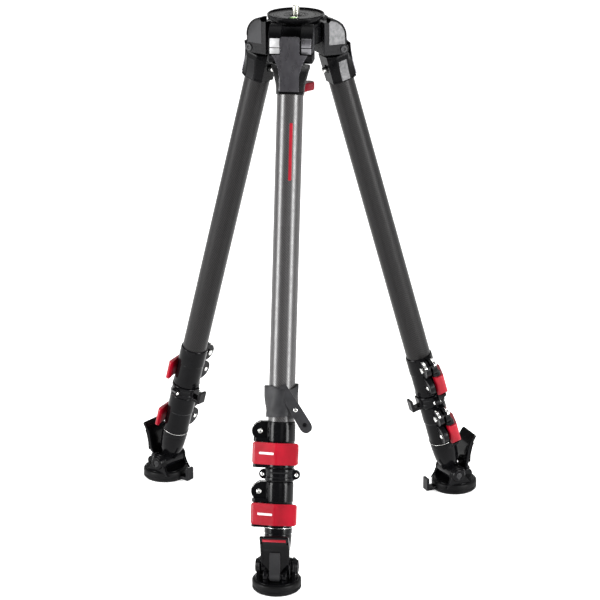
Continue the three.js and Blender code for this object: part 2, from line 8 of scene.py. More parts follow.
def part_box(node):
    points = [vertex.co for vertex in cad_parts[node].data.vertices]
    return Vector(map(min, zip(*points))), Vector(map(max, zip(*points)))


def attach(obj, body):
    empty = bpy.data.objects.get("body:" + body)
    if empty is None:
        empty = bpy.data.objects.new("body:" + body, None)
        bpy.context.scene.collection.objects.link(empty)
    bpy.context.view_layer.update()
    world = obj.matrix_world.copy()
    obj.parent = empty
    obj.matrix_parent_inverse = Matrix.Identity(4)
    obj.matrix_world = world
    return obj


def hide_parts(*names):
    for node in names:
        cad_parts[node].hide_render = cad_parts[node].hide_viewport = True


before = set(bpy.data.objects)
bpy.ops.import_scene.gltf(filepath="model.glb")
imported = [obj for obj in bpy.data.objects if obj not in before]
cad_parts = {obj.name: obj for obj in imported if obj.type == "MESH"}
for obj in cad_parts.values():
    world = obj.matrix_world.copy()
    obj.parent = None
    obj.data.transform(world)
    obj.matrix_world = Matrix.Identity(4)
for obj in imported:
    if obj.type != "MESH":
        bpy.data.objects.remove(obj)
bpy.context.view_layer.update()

MM = 0.001

# ------------------------------------------------------------------ dimensions, in millimetres
PLATE_LOW, PLATE_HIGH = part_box("platform_plate")
AXIS = ((PLATE_LOW + PLATE_HIGH) / 2).xy
PLATFORM_TOP = PLATE_HIGH.z / MM
PLATFORM_RADIUS = (PLATE_HIGH.x - PLATE_LOW.x) / 2 / MM
LEAN = math.radians(16.2)
LEG_TOP_RADIUS = 39
SIDES = {"front": 0, "right": 120, "left": -120}
HINGE_RADIUS, HINGE_HEIGHT = 59, 698
EAR_IN, EAR_OUT = 13.6, 29.5
ARCH_AT = (38, 716)
DISH = 2.2
STUD_LENGTH = 10.5
YOKE_TOP, YOKE_END = 61.8, 103
YOKE_FACE, YOKE_BACK = 18.6, -17.5
TUBES = {"upper": (18, YOKE_END + 0.3, 575), "middle": (16.2, 138, 652), "lower": (14.4, 160, 724)}
CLAMPS = {
    "upper": dict(bore=16.5, seat=18.3, outer=20, start=549, step=575.3, end=612.5, ears=(549, 576),
                  reach=39, lever=(577.5, 607.5), body="leg"),
    "lower": dict(bore=14.7, seat=16.5, outer=19.6, start=631.7, step=652.3, end=694.5, ears=(632, 659),
                  reach=38, lever=(661, 690.5), body="middle"),
}
REAR_REACH, REAR_BACK, REAR_FRONT = 37, -9.5, -1.8
PIVOT_X, PIVOT_OUT, PIVOT_ROUND = -30, 8, 6.5
RING_FROM, RING_TO, RING_OUTER = 613.2, 631, 20.5
ANKLE_HEIGHT = 29
ANKLE_DOWN = (PLATFORM_TOP - ANKLE_HEIGHT) / math.cos(LEAN)
ANKLE_RADIUS = LEG_TOP_RADIUS + (PLATFORM_TOP - ANKLE_HEIGHT) * math.tan(LEAN)
FOOT_RADIUS, PAD_RADIUS, PAD_HEIGHT = 254, 34, 15
LATCH_RADIUS, LATCH_HEIGHT = 269, 24


# ------------------------------------------------------------------ frames
def azimuth_frame(turn):
    """x to the left seen from outside, y outward from the platform's axis, z up."""
    return Matrix.Translation((AXIS.x, AXIS.y, 0)) @ Matrix.Rotation(math.pi + math.radians(turn), 4, "Z")


def leg_frame(turn):
    """x to the right seen from outside, y outward from the leg's axis, z down it."""
    top = Matrix.Translation((0, LEG_TOP_RADIUS * MM, PLATFORM_TOP * MM))
    lean = Matrix.Rotation(LEAN, 4, "X") @ Matrix.Rotation(math.pi, 4, "Y")
    return azimuth_frame(turn) @ top @ lean


HEAD = azimuth_frame(0)


# ------------------------------------------------------------------ mesh builders, in millimetres
def front(u, v, w):
    return Vector((u, w, v))


def side(u, v, w):
    return Vector((w, u, v))


def above(u, v, w):
    return Vector((u, v, w))


def arc(cx, cy, radius, start, end, steps=16):
    angles = [math.radians(start + (end - start) * i / steps) for i in range(steps + 1)]
    return [(cx + radius * math.cos(a), cy + radius * math.sin(a)) for a in angles]


def mirrored(half):
    return half + [(-x, y) for x, y in reversed(half)]


def rounded_box(x0, x1, y0, y1, radius, steps=5):
    corners = [(x1 - radius, y1 - radius, 0), (x0 + radius, y1 - radius, 90),
               (x0 + radius, y0 + radius, 180), (x1 - radius, y0 + radius, 270)]
    return [p for x, y, turn in corners for p in arc(x, y, radius, turn, turn + 90, steps)]


def loft(bm, loops):
    """A closed body through loops of points that all have the same count."""
    rows = [[bm.verts.new(p) for p in loop] for loop in loops]
    bm.faces.new(rows[0])
    bm.faces.new(rows[-1])
    for a, b in zip(rows, rows[1:]):
        for i in range(len(a)):
            j = (i + 1) % len(a)
            bm.faces.new((a[i], a[j], b[j], b[i]))


def prism(bm, outline, low, high, plane=front):
    loft(bm, [[plane(u, v, low) for u, v in outline], [plane(u, v, high) for u, v in outline]])


def lathe(bm, profile, axis="z", centre=(0, 0, 0), sides=72):
    """A body turned from (radius, along); it is hollow where no point is on the axis."""
    def spot(radius, along, angle):
        c, s = radius * math.cos(angle), radius * math.sin(angle)
        local = {"z": (c, s, along), "y": (c, along, s), "x": (along, c, s)}[axis]
        return Vector(local) + Vector(centre)

    rows = []
    for radius, along in profile:
        count = sides if radius > 1e-6 else 1
        rows.append([bm.verts.new(spot(radius, along, math.tau * i / count)) for i in range(count)])
    hollow = all(len(row) > 1 for row in rows)
    pairs = list(zip(rows, rows[1:])) + ([(rows[-1], rows[0])] if hollow else [])
    for a, b in pairs:
        for i in range(sides):
            j = (i + 1) % sides
            if len(a) == 1:
                bm.faces.new((a[0], b[i], b[j]))
            elif len(b) == 1:
                bm.faces.new((a[i], a[j], b[0]))
            else:
                bm.faces.new((a[i], a[j], b[j], b[i]))


def disc(bm, radius, low, high, axis="z", centre=(0, 0, 0), edge=0.4, sides=40):
    low, high = sorted((low, high))
    lathe(bm, [(0, low), (radius - edge, low), (radius, low + edge), (radius, high - edge),
               (radius - edge, high), (0, high)], axis, centre, sides)


def ring(bm, inner, outer, low, high, axis="z", centre=(0, 0, 0), edge=0.4, sides=72):
    lathe(bm, [(inner, low), (outer - edge, low), (outer, low + edge), (outer, high - edge),
               (outer - edge, high), (inner, high)], axis, centre, sides)


def wire(bm, points, radius, sides=10):
    """A round wire along a run of points."""
    points = [Vector(p) for p in points]
    loops = []
    for i, p in enumerate(points):
        ahead = points[min(i + 1, len(points) - 1)] - points[max(i - 1, 0)]
        across = ahead.cross(Vector((0.3, 0.2, 1))).normalized()
        up = ahead.cross(across).normalized()
        loops.append([p + radius * (math.cos(t) * across + math.sin(t) * up)
                      for t in (math.tau * k / sides for k in range(sides))])
    loft(bm, loops)


def thread(radius, depth, pitch, low, high):
    """Profile points of a screw thread's ridges from low to high."""
    points = []
    at = low
    while at + pitch <= high:
        points += [(radius - depth, at), (radius, at + pitch / 2)]
        at += pitch
    return points + [(radius - depth, high)]


def piece(name, bm, body, material, place, bevel=0.4, replaces=(), segments=2, local=False):
    """A mesh in millimetres becomes a named piece on a body. A local piece keeps its own frame."""
    bmesh.ops.scale(bm, vec=(MM, MM, MM), verts=bm.verts)
    if not local:
        bm.transform(place)
        place = Matrix.Identity(4)
    bmesh.ops.recalc_face_normals(bm, faces=bm.faces)
    mesh = bpy.data.meshes.new(name)
    bm.to_mesh(mesh)
    bm.free()
    for face in mesh.polygons:
        face.use_smooth = True
    mesh.materials.append(material)
    obj = bpy.data.objects.new(name, mesh)
    bpy.context.scene.collection.objects.link(obj)
    obj.matrix_world = place
    if bevel:
        edges = obj.modifiers.new("bevel", "BEVEL")
        edges.width = bevel * MM
        edges.segments = segments
        edges.limit_method = "ANGLE"
        edges.angle_limit = math.radians(38)
    obj.modifiers.new("normals", "WEIGHTED_NORMAL").keep_sharp = False
    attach(obj, body)
    if replaces:
        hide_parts(*replaces)
    return obj


# ------------------------------------------------------------------ materials
def new_material(name):
    material = bpy.data.materials.new(name)
    material.use_nodes = True
    nodes = material.node_tree.nodes
    return material, nodes, material.node_tree.links, nodes["Principled BSDF"]


def noise(nodes, links, scale, detail=4, stretch=(1, 1, 1)):
    where = nodes.new("ShaderNodeTexCoord")
    mapping = nodes.new("ShaderNodeMapping")
    mapping.inputs["Scale"].default_value = stretch
    texture = nodes.new("ShaderNodeTexNoise")
    texture.inputs["Scale"].default_value = scale
    texture.inputs["Detail"].default_value = detail
    links.new(where.outputs["Object"], mapping.inputs["Vector"])
    links.new(mapping.outputs["Vector"], texture.inputs["Vector"])
    return texture.outputs["Fac"]


def ramp(nodes, links, source, low, high, start=0.35, end=0.65):
    made = nodes.new("ShaderNodeMapRange")
    made.inputs["From Min"].default_value = start
    made.inputs["From Max"].default_value = end
    made.inputs["To Min"].default_value = low
    made.inputs["To Max"].default_value = high
    links.new(source, made.inputs["Value"])
    return made.outputs["Result"]


def two_tone(nodes, links, source, dark, light, start=0.3, end=0.7):
    made = nodes.new("ShaderNodeValToRGB")
    made.color_ramp.elements[0].position = start
    made.color_ramp.elements[0].color = (*dark, 1)
    made.color_ramp.elements[1].position = end
    made.color_ramp.elements[1].color = (*light, 1)
    links.new(source, made.inputs["Fac"])
    return made.outputs["Color"]


def bump(nodes, links, shader, height, strength, distance):
    made = nodes.new("ShaderNodeBump")
    made.inputs["Strength"].default_value = strength
    made.inputs["Distance"].default_value = distance
    links.new(height, made.inputs["Height"])
    links.new(made.outputs["Normal"], shader.inputs["Normal"])


def grained(name, dark, light, rough, metallic=0.0, grain=2500, depth=0.00005, strength=0.35, coat=0.0,
            stretch=(1, 1, 1), patch=40, worn=None, specular=0.5):
    """Mottled colour, uneven gloss, a fine grain and, if given, a paler worn edge."""
    material, nodes, links, shader = new_material(name)
    colour = two_tone(nodes, links, noise(nodes, links, patch, 5), dark, light)
    if worn:
        edge = nodes.new("ShaderNodeNewGeometry")
        mask = ramp(nodes, links, edge.outputs["Pointiness"], 0, 0.6, 0.53, 0.6)
        mixed = nodes.new("ShaderNodeMix")
        mixed.data_type = "RGBA"
        links.new(mask, mixed.inputs["Factor"])
        links.new(colour, mixed.inputs["A"])
        mixed.inputs["B"].default_value = (*worn, 1)
        colour = mixed.outputs["Result"]
    links.new(colour, shader.inputs["Base Color"])
    gloss = ramp(nodes, links, noise(nodes, links, patch * 6, 3, stretch), rough[0], rough[1])
    links.new(gloss, shader.inputs["Roughness"])
    shader.inputs["Metallic"].default_value = metallic
    shader.inputs["Specular IOR Level"].default_value = specular
    shader.inputs["Coat Weight"].default_value = coat
    shader.inputs["Coat Roughness"].default_value = 0.15
    bump(nodes, links, shader, noise(nodes, links, grain, 2, stretch), strength, depth)
    return material


def calculate(nodes, links, operation, *values):
    made = nodes.new("ShaderNodeMath")
    made.operation = operation
    for socket, value in zip(made.inputs, values):
        if isinstance(value, (int, float)):
            socket.default_value = value
        else:
            links.new(value, socket)
    return made.outputs["Value"]


def carbon(name, radius, light=0.016, specular=0.13, tow=0.9):
    """A two-by-two twill wound on a tube whose axis is the object's Z, under clear coat."""
    material, nodes, links, shader = new_material(name)
    where = nodes.new("ShaderNodeTexCoord")
    parts = nodes.new("ShaderNodeSeparateXYZ")
    links.new(where.outputs["Object"], parts.inputs["Vector"])
    angle = calculate(nodes, links, "ARCTAN2", parts.outputs["Y"], parts.outputs["X"])
    across = calculate(nodes, links, "MULTIPLY", angle, radius / tow)
    along = calculate(nodes, links, "MULTIPLY", parts.outputs["Z"], 1 / (tow * MM))
    diagonal = calculate(nodes, links, "ADD", calculate(nodes, links, "FLOOR", across),
                         calculate(nodes, links, "FLOOR", along))
    phase = calculate(nodes, links, "FLOORED_MODULO", diagonal, 4)
    over = calculate(nodes, links, "LESS_THAN", phase, 1.5)
    speckle = calculate(nodes, links, "ADD", calculate(nodes, links, "MULTIPLY", over, 0.35),
                        noise(nodes, links, 900, 4))
    dark, pale = (0.12 * light,) * 3, (light, 0.94 * light, 0.96 * light)
    links.new(two_tone(nodes, links, speckle, dark, pale, 0.35, 1.0), shader.inputs["Base Color"])
    links.new(ramp(nodes, links, noise(nodes, links, 300, 3), 0.28, 0.40), shader.inputs["Roughness"])
    shader.inputs["Metallic"].default_value = 0.1
    shader.inputs["Specular IOR Level"].default_value = specular
    shader.inputs["Coat Weight"].default_value = specular / 2
    shader.inputs["Coat Roughness"].default_value = 0.24
    bump(nodes, links, shader, over, 0.3, 0.00004)
    return material


def webbing(name):
    """Close cross-ribs with a slight sheen."""
    material, nodes, links, shader = new_material(name)
    where = nodes.new("ShaderNodeTexCoord")
    ribs = nodes.new("ShaderNodeTexWave")
    ribs.bands_direction = "Z"
    ribs.inputs["Scale"].default_value = 260
    ribs.inputs["Distortion"].default_value = 1.5
    links.new(where.outputs["Object"], ribs.inputs["Vector"])
    colour = two_tone(nodes, links, noise(nodes, links, 90, 4), (0.005, 0.005, 0.006), (0.014, 0.014, 0.016))
    links.new(colour, shader.inputs["Base Color"])
    shader.inputs["Roughness"].default_value = 0.55
    shader.inputs["Sheen Weight"].default_value = 0.03
    shader.inputs["Specular IOR Level"].default_value = 0.25
    bump(nodes, links, shader, ribs.outputs["Fac"], 0.4, 0.0002)
    return material


def tinted_glass(name):
    material, nodes, links, shader = new_material(name)
    links.new(two_tone(nodes, links, noise(nodes, links, 120, 2), (0.10, 0.34, 0.02), (0.22, 0.52, 0.05)),
              shader.inputs["Base Color"])
    shader.inputs["Roughness"].default_value = 0.08
    shader.inputs["Coat Weight"].default_value = 1.0
    # Painted glow: the vial gives off a little green light though it is no lamp.
    shader.inputs["Emission Color"].default_value = (0.2, 0.6, 0.05, 1)
    shader.inputs["Emission Strength"].default_value = 0.12
    return material


CASTING = grained("black powder coat", (0.0012, 0.0012, 0.0014), (0.003, 0.003, 0.0034), (0.22, 0.30),
                  strength=0.2, worn=(0.02, 0.02, 0.022), specular=0.06)
PLASTIC = grained("black nylon", (0.0012, 0.0012, 0.0015), (0.003, 0.003, 0.0035), (0.13, 0.2), grain=3500,
                  strength=0.1, worn=(0.012, 0.012, 0.013), specular=0.09)
SATIN = grained("satin grey paint", (0.085, 0.082, 0.092), (0.13, 0.127, 0.137), (0.26, 0.34), 0.9,
                grain=900, stretch=(1, 1, 0.05), worn=(0.5, 0.5, 0.52))
# Painted shade: a near-black copy of the grey side faces, for those turned away from the light.
SHADED_FACES = grained("painted shade faces", (0.004, 0.004, 0.0045), (0.010, 0.010, 0.0105), (0.36, 0.46),
                     grain=900, worn=(0.08, 0.08, 0.085), specular=0.08)
# Painted light: a near-white copy of the ear pads, for those turned towards the light.
LIT_PADS = grained("painted light pads", (0.36, 0.36, 0.365), (0.50, 0.50, 0.505), (0.28, 0.42), 0.15, grain=1200,
                 patch=150)
# Painted light: a paler copy of the same side faces, for those turned towards the light.
LIT_CHEEK = grained("painted light cheeks", (0.05, 0.05, 0.052), (0.13, 0.13, 0.133), (0.45, 0.58), 0.2, grain=1200,
                patch=220)
STEEL = grained("bright zinc", (0.62, 0.62, 0.60), (0.78, 0.78, 0.76), (0.16, 0.28), 1.0, grain=1500)
BRASS_STEEL = grained("stud steel", (0.72, 0.72, 0.62), (0.86, 0.86, 0.76), (0.2, 0.3), 0.85, grain=1500)
RED = grained("red moulding", (0.18, 0.001, 0.007), (0.28, 0.002, 0.012), (0.30, 0.40), grain=1800,
              coat=0.05, worn=(0.5, 0.03, 0.05), specular=0.2)
DARK_RED = grained("dark red moulding", (0.08, 0.002, 0.006), (0.14, 0.004, 0.010), (0.4, 0.5),
                   grain=1800, specular=0.15)
PALE = grained("pale print", (0.55, 0.44, 0.46), (0.65, 0.54, 0.56), (0.35, 0.45), grain=2500)
RUBBER = grained("black rubber", (0.0018, 0.0018, 0.002), (0.005, 0.005, 0.0053), (0.40, 0.52), grain=1300,
                 strength=0.4, specular=0.07)
CLIP = grained("grey clip", (0.012, 0.012, 0.013), (0.022, 0.022, 0.023), (0.35, 0.45), 0.2, specular=0.2)
VIAL = tinted_glass("vial")
WEBBING = webbing("strap webbing")
CARBON = {name: carbon(f"carbon weave {name}", radius) for name, (radius, _, _) in TUBES.items()}
# Painted light: the front upper tube gets a paler, glossier copy of the same weave, standing in for the
# light it catches.
LIT_FRONT_CARBON = carbon("carbon weave front painted lit", TUBES["upper"][0], light=0.045, specular=0.42)


# ------------------------------------------------------------------ screws
def pan_screw(name, body, place, axis, centre, radius=3.0, height=1.6, out=1):
    """A pan head with a round recess, standing out along an axis from a centre."""
    bm = bmesh.new()
    tip = out * height
    profile = [(0, 0), (radius, 0), (radius, 0.45 * tip), (0.82 * radius, 0.8 * tip),
               (0.5 * radius, tip), (0.42 * radius, tip), (0.30 * radius, 0.45 * tip), (0, 0.4 * tip)]
    lathe(bm, profile, axis, centre, 32)
    return piece(name, bm, body, STEEL, place, bevel=0)


# ------------------------------------------------------------------ head
def spider_hub():
    bm = bmesh.new()
    lathe(bm, [(12, 708), (34.5, 708), (36, 709.5), (36, 727.5), (35.5, 729), (35.5, 731), (34.6, 731.6),
               (34.6, 733), (35.5, 733.6), (35.5, 736.4), (34.9, 737), (30.4, 737), (29.4, 731), (25, 722),
               (18, 714.5), (12, 711)], sides=96)
    piece("spider", bm, "spider", CASTING, HEAD, 0.3, ["spider"])


def ear_outline():
    """Side view of an ear: a round lower corner about the hinge and a quarter arch above."""
    lower = [(30, HINGE_HEIGHT - 7.5)] + arc(HINGE_RADIUS, HINGE_HEIGHT, 7.5, -90, 0, 10)
    step = [(66.5, 702), (63.5, 702)]
    arch = arc(*ARCH_AT, 25.5, 0, 86, 20)
    return lower + step + arch + [(arch[-1][0], 736.5), (30, 736.5)]


def spider_arm(name, turn):
    place = azimuth_frame(turn)
    bm = bmesh.new()
    for sign in (-1, 1):
        prism(bm, ear_outline(), *sorted((sign * EAR_IN, sign * EAR_OUT)), side)
    prism(bm, rounded_box(30, 36.5, 690.5, 736.4, 0.6, 2), -EAR_IN - 1, EAR_IN + 1, side)
    piece(f"spider_arm_{name}", bm, "spider", CASTING, place, 1.0, segments=3)
    cheek = [(37, 705), (61, 705)] + arc(*ARCH_AT, 22.6, 0, 88, 18) + [(37, 736)]
    for sign, word in ((-1, "right"), (1, "left")):
        bm = bmesh.new()
        prism(bm, cheek, *sorted((sign * (EAR_OUT - 0.5), sign * (EAR_OUT + 0.5))), side)
        # One cheek is painted lit and the other painted shade, by the way it faces.
        lit_or_shaded = LIT_CHEEK if sign > 0 else SHADED_FACES
        piece(f"ear_cheek_{name}_{word}", bm, "spider", lit_or_shaded, place, 0.4)
        ear_pads(f"{name}_{word}", sign, place)
        ear_rib(f"{name}_{word}", sign, place)


def ear_pads(name, sign, place):
    """Two pads on an ear's outer face, one above the other, painted lit (near white) on one side and painted
    shade (satin grey) on the other.
    """
    lower = [(63.0, 704.5), (63.75, 704.5), (63.75, 712.4), (63.0, 712.4)]
    outer = arc(*ARCH_AT, 25.75, 0, 22, 6)
    inner = arc(*ARCH_AT, 25.0, 22, 0, 6)
    upper = [(63.0, 713.4), (63.75, 713.4)] + outer + inner
    bm = bmesh.new()
    ends = sorted((sign * 14.8, sign * 28.4))
    prism(bm, lower, *ends, side)
    prism(bm, upper, *ends, side)
    # The pads on one side are painted lit, those on the other side painted shade with the satin grey.
    piece(f"ear_pads_{name}", bm, "spider", LIT_PADS if sign > 0 else SATIN, place, 0.3)


def ear_rib(name, sign, place):
    """A raised rib round an ear's rim."""
    outer = arc(*ARCH_AT, 25.3, -4, 80, 18)
    inner = arc(*ARCH_AT, 23.6, 80, -4, 18)
    bm = bmesh.new()
    prism(bm, outer + inner, *sorted((sign * (EAR_OUT - 0.5), sign * (EAR_OUT + 0.9))), side)
    piece(f"ear_rim_{name}", bm, "spider", CASTING, place, 0.4)


def hinge_bolt(name, turn):
    """A bolt with the same head at both ends."""
    head = [(3, 29.8), (5.5, 29.8), (5.5, 30.4), (4.6, 31.2), (2.2, 31.2), (2.2, 30), (0, 30)]
    profile = [(radius, -along) for radius, along in reversed(head)] + head
    bm = bmesh.new()
    lathe(bm, profile, "x", (0, HINGE_RADIUS, HINGE_HEIGHT), 36)
    node = f"hinge_bolt_{name}"
    piece(node, bm, "spider", CLIP, azimuth_frame(turn), 0.2, [node])


def platform():
    top = PLATFORM_TOP
    edge = PLATFORM_RADIUS
    floor = top - DISH
    rings = []
    for radius in (35, 31.5, 28, 17, 13.5):
        rings += [(radius, floor), (radius - 0.5, floor - 0.5), (radius - 1.0, floor)]
    profile = [(5.2, top - 7), (edge - 2.2, top - 7), (edge - 0.8, top - 5.4), (edge, top - 3.6),
               (edge, top - 0.8), (edge - 0.7, top), (edge - 1.8, top), (edge - 3.0, floor)]
    boss = [(9.8, floor), (9.2, floor + 0.7), (6, floor + 0.7), (5.2, floor + 0.2)]
    bm = bmesh.new()
    lathe(bm, profile + rings + boss, sides=128)
    piece("platform_plate", bm, "platform", CASTING, HEAD, 0.15, ["platform_plate"])
    bm = bmesh.new()
    lathe(bm, [(0, top - 45), (4.3, top - 45), (4.3, top - 38), (16, top - 33), (25, top - 24),
               (29.7, top - 10), (28.7, top - 8.4), (28.7, top - 7.3), (0, top - 7.3)], sides=96)
    piece("half_ball", bm, "platform", CASTING, HEAD, 0.3, ["half_ball"])


def stud():
    top = PLATFORM_TOP + STUD_LENGTH
    bm = bmesh.new()
    ridges = thread(4.75, 0.45, 1.588, PLATFORM_TOP - 1.4, top - 1.0)
    profile = [(0, PLATFORM_TOP - 15), (4.75, PLATFORM_TOP - 15)] + ridges + [(3.6, top), (0, top)]
    lathe(bm, profile, sides=48)
    piece("head_stud", bm, "platform", BRASS_STEEL, HEAD, 0, ["head_stud"])


def level():
    """A round vial in a black bezel, on the front of the platform."""
    at = (0, 24, 0)
    top = PLATFORM_TOP - 1.4
    bm = bmesh.new()
    lathe(bm, [(0, top - 3.5), (5.6, top - 3.5), (5.6, top - 0.1), (4.6, top + 0.5),
               (2.4, top + 0.85), (0, top + 0.95)], centre=at, sides=48)
    piece("bubble_level", bm, "platform", VIAL, HEAD, 0, ["bubble_level"])
    bm = bmesh.new()
    lathe(bm, [(5.7, top - 1.2), (7.6, top - 1.2), (7.6, top - 0.2), (7.0, top + 0.5), (5.9, top + 0.5)],
          centre=at, sides=48)
    piece("level_bezel", bm, "platform", PLASTIC, HEAD, 0.15)
    bm = bmesh.new()
    lathe(bm, [(0, top + 0.9), (1.5, top + 0.9), (1.7, top + 1.0), (1.2, top + 1.15), (0, top + 1.2)],
          centre=(1.6, 24.6, 0), sides=24)
    piece("level_bubble", bm, "platform", PALE, HEAD, 0)


def knob_outline(reach=30, lobe=8, sweep=77, waist=7):
    points = []
    centre = reach - lobe
    for i in range(3):
        turn = -15 + 120 * i
        cx, cy = centre * math.cos(math.radians(turn)), centre * math.sin(math.radians(turn))
        lobe_points = arc(cx, cy, lobe, turn - sweep, turn + sweep, 14)
        points += lobe_points
        start = Vector(lobe_points[-1])
        nxt = turn + 120
        end = Vector((centre * math.cos(math.radians(nxt)) + lobe * math.cos(math.radians(nxt - sweep)),
                      centre * math.sin(math.radians(nxt)) + lobe * math.sin(math.radians(nxt - sweep))))
        pull = Vector((waist * math.cos(math.radians(turn + 60)), waist * math.sin(math.radians(turn + 60))))
        for k in range(1, 8):
            t = k / 8
            points.append(tuple((1 - t) ** 2 * start + 2 * t * (1 - t) * pull + t ** 2 * end))
    return points


def tie_down():
    bm = bmesh.new()
    ridges = thread(4.0, 0.35, 1.25, 650, 726)
    lathe(bm, [(0, 640), (4, 640)] + ridges + [(3.6, 728), (0, 728)], sides=36)
    piece("tie_rod", bm, "platform", STEEL, HEAD, 0, ["tie_rod"])
    bm = bmesh.new()
    lathe(bm, [(8.5, 694), (14.5, 694), (16, 695), (21.5, 700.5), (22, 702), (22, 706.8), (21.4, 707.7),
               (8.5, 707.7)], sides=72)
    piece("clamp_cup", bm, "clamp_cup", CASTING, HEAD, 0.2, ["clamp_cup"])
    bm = bmesh.new()
    prism(bm, knob_outline(), 636, 648, above)
    piece("tie_down_knob", bm, "tie_down_knob", DARK_RED, HEAD, 2.2, ["tie_down_knob"], 4)
    bm = bmesh.new()
    flutes = []
    for i in range(48):
        radius = 12 - 0.7 * (i % 2)
        angle = math.tau * i / 48
        flutes.append((radius * math.cos(angle), radius * math.sin(angle)))
    prism(bm, flutes, 648.2, 691.5, above)
    piece("knob_shaft", bm, "tie_down_knob", PLASTIC, HEAD, 0)


# ------------------------------------------------------------------ top of a leg
def yoke_section(half):
    corner = half - 0.5
    edge = min(14, half - 5)
    return mirrored([(edge, YOKE_BACK), (corner, -8.5), (half, -6), (half, 8), (corner, 10.5),
                     (edge, YOKE_FACE)])


def leg_yoke(name, place, body):
    bm = bmesh.new()
    stations = [(YOKE_TOP, 25.0), (YOKE_TOP + 1, 25.6), (YOKE_TOP + 4.5, 25.6), (72, 23.4), (80, 21.5),
                (88, 19.6), (95, 18.6), (98.6, 18.6), (98.8, 18.0), (100.4, 18.0), (100.6, 18.6),
                (YOKE_END, 18.6)]
    loft(bm, [[above(x, y, z) for x, y in yoke_section(half)] for z, half in stations])
    hinge_out, hinge_down = 5.26, 53.6
    post = [(YOKE_FACE, 67), (hinge_out - 10, 67)] + arc(hinge_out, hinge_down, 10, 180, 270, 12)
    post += [(8, hinge_down - 10), (8, 29.5), (9.5, 28), (YOKE_FACE, 28)]
    prism(bm, post, -13, 13, side)
    piece(f"leg_yoke_{name}", bm, body, CASTING, place, 0.7, [f"leg_yoke_{name}"], 3)
    for sign, word in ((-1, "left"), (1, "right")):
        facet(f"yoke_facet_{name}_{word}", place, body, sign)
    bm = bmesh.new()
    ring(bm, 14.5, 16.2, 100, 134)
    piece(f"yoke_spigot_{name}", bm, body, CASTING, place, 0.2)


def facet(name, place, body, sign):
    """A face on the yoke's side, painted lit on one side of the leg and painted shade on the other."""
    loops = []
    for z, half in ((71, 23.7), (72, 23.4), (80, 21.5), (88, 19.6), (95, 18.6), (101, 18.6)):
        loop = [(half + 0.35, -5.2), (half + 0.35, 7.2), (half - 1, 7.2), (half - 1, -5.2)]
        loops.append([Vector((sign * x, y, z)) for x, y in loop])
    bm = bmesh.new()
    loft(bm, loops)
    # Painted light on one side, painted shade on the other.
    piece(name, bm, body, LIT_CHEEK if sign < 0 else SHADED_FACES, place, 0.2)


def cover_widths():
    """Half the cover's width at each distance down the leg: a narrow top, two wings and a waist."""
    narrow, wing, waist = 13.2, 24.5, 13.5
    rows = [(26, narrow - 2.4), (26.5, narrow - 1), (27.6, narrow - 0.2), (29, narrow), (50.2, narrow),
            (50.8, wing - 0.8)]
    for k in range(13):
        t = k / 12
        half = (1 - t) ** 2 * wing + 2 * t * (1 - t) * (wing - 8) + t ** 2 * waist
        rows.append(((1 - t) ** 2 * 51 + 2 * t * (1 - t) * 62 + t ** 2 * 79, half))
    return rows + [(99.2, waist), (100, waist - 0.8)]


def shoulder_cover(name, place, body):
    """A plate whose face is crowned across its width."""
    columns, crown = 18, 1.5
    back, top = [], []
    bm = bmesh.new()
    for z, half in cover_widths():
        spots = [half * (2 * k / columns - 1) for k in range(columns + 1)]
        back.append([bm.verts.new((x, YOKE_FACE + 0.45, z)) for x in spots])
        rise = [crown * (1 - (x / 24.5) ** 2) for x in spots]
        top.append([bm.verts.new((x, YOKE_FACE + 0.6 + up, z)) for x, up in zip(spots, rise)])
    rows = len(back)
    for face in (back, top):
        for i in range(rows - 1):
            for k in range(columns):
                bm.faces.new((face[i][k], face[i][k + 1], face[i + 1][k + 1], face[i + 1][k]))
    for i in range(rows - 1):
        for k in (0, columns):
            bm.faces.new((back[i][k], back[i + 1][k], top[i + 1][k], top[i][k]))
    for i in (0, rows - 1):
        for k in range(columns):
            bm.faces.new((back[i][k], back[i][k + 1], top[i][k + 1], top[i][k]))
    node = f"shoulder_cover_{name}"
    piece(node, bm, body, SATIN, place, 0.35, [node], 3)


def angle_lock(name, place):
    bm = bmesh.new()
    lathe(bm, [(0, -13.5), (3.6, -13.5), (4, -14), (4, -21.5), (3.4, -22.9), (2, -23.5), (0, -23.5)], "y",
          (0, 0, 82), 36)
    piece(f"angle_lock_{name}", bm, f"angle_lock_{name}", STEEL, place, 0, [f"angle_lock_{name}"])
    bm = bmesh.new()
    ring(bm, 4.3, 6.4, -18.6, -17.2, "y", (0, 0, 82), 0.3, 36)
    piece(f"lock_collar_{name}", bm, f"leg_{name}", CASTING, place, 0)


# ------------------------------------------------------------------ tubes and clamps
def tube(kind, name, place, body):
    radius, start, end = TUBES[kind]
    bm = bmesh.new()
    ring(bm, radius - 1.5, radius, start, end, edge=0.25, sides=96)
    # The front upper tube takes the painted-lit copy of the weave.
    weave = LIT_FRONT_CARBON if (kind, name) == ("upper", "front") else CARBON[kind]
    node = f"{kind}_tube_{name}"
    piece(node, bm, body, weave, place, 0, [node], local=True)


